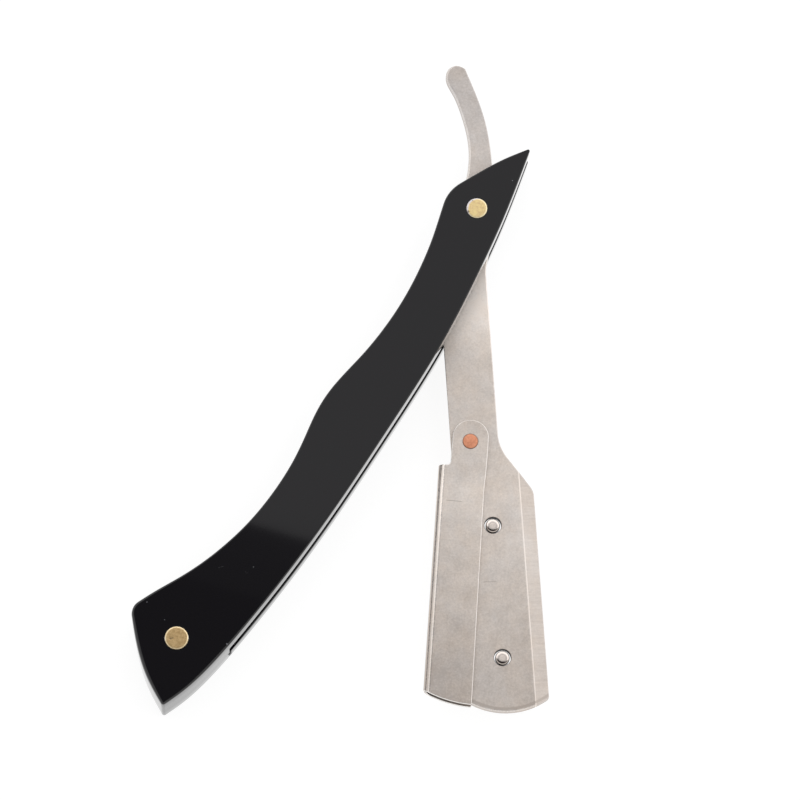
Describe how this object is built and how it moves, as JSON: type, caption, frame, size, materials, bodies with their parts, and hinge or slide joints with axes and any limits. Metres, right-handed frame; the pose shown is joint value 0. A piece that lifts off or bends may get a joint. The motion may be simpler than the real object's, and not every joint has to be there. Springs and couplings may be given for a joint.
{
  "type": "replaceable blade straight razor",
  "caption": "Folding straight razor for half of a double-edge blade: a steel arm turns between two black scales, and a folded steel cover swings on a copper rivet to clamp the blade.",
  "frame": {"origin": "where the axis of the pivot pin meets the flat rear face of the handle", "axes": "+Z out of the front face, square to the flat faces; -Y along the handle to the pin at its butt; +X to the belly side, on which the arm stands open"},
  "size_m": [0.0921, 0.15, 0.011],
  "materials": {
    "scale_plastic": "polished black",
    "pin_brass": "filed and worn",
    "washer_brass": "plain",
    "arm_steel": "tumbled satin",
    "stud_steel": "polished",
    "cover_steel": "tumbled satin",
    "rivet_copper": "bare copper, filed flush"
  },
  "bodies": {
    "handle": {"front_scale": "scale_plastic", "rear_scale": "scale_plastic", "wedge_spacer": "scale_plastic", "wedge_pin": "pin_brass", "pivot_pin": "pin_brass", "front_pivot_washer": "washer_brass", "rear_pivot_washer": "washer_brass"},
    "arm": {"blade_arm": "arm_steel", "upper_blade_stud": "stud_steel", "lower_blade_stud": "stud_steel"},
    "cover": {"swing_cover": "cover_steel", "cover_rivet": "rivet_copper"}
  },
  "joints": [
    {"name": "arm_pivot", "type": "hinge", "parent": "handle", "child": "arm", "pos_m": [0, 0, 0.0055], "axis": [0, 0, 1], "range_deg": [-37.3, 322.7]},
    {"name": "cover_swing", "type": "hinge", "parent": "arm", "child": "cover", "pos_m": [0.02628, -0.04208, 0.0055], "axis": [0, 0, 1], "range_deg": [-90, 7.6]}
  ]
}
